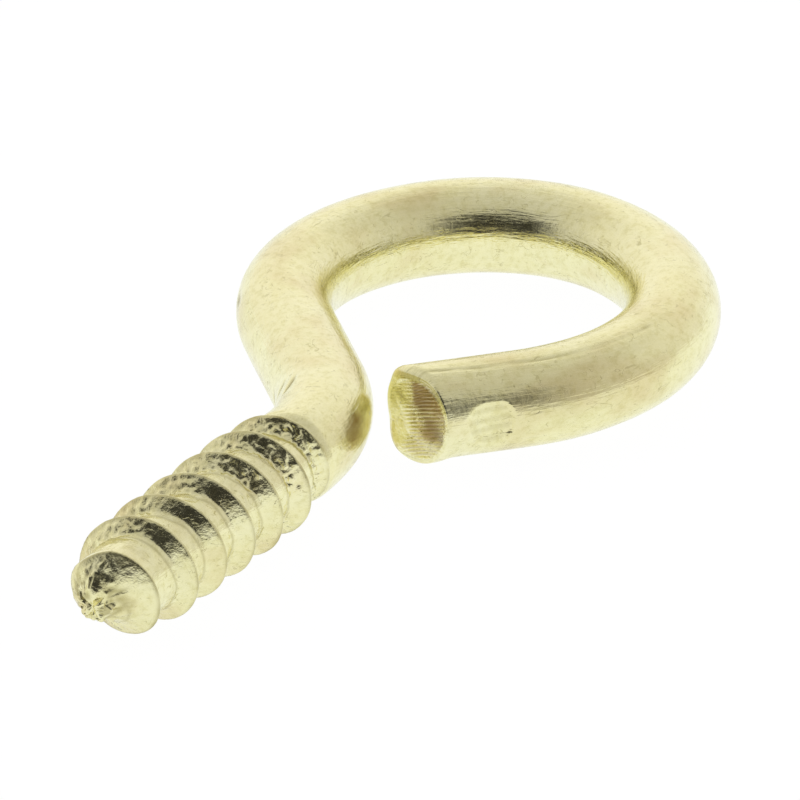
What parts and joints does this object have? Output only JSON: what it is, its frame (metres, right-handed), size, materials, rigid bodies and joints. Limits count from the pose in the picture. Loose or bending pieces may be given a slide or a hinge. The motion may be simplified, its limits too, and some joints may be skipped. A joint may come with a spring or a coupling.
{
  "type": "cup hook",
  "caption": "Small brass screw hook bent from round wire: a wood-screw thread on the shank, and an almost closed round loop with a sheared end.",
  "frame": {"origin": "on the axis of the shank where the thread ends and the bend begins, the plane that stops at the wood", "axes": "+Y along the shank from its tip towards the loop, +Z square to the plane of the hook, +X to the side on which the loop's open end lies"},
  "size_m": [0.0101, 0.0211, 0.0026],
  "materials": {
    "brass": "bright raw brass, tumbled and lightly tarnished, scuffed by rolling and bending"
  },
  "bodies": {
    "root": {"cup_hook": "brass"}
  },
  "joints": []
}
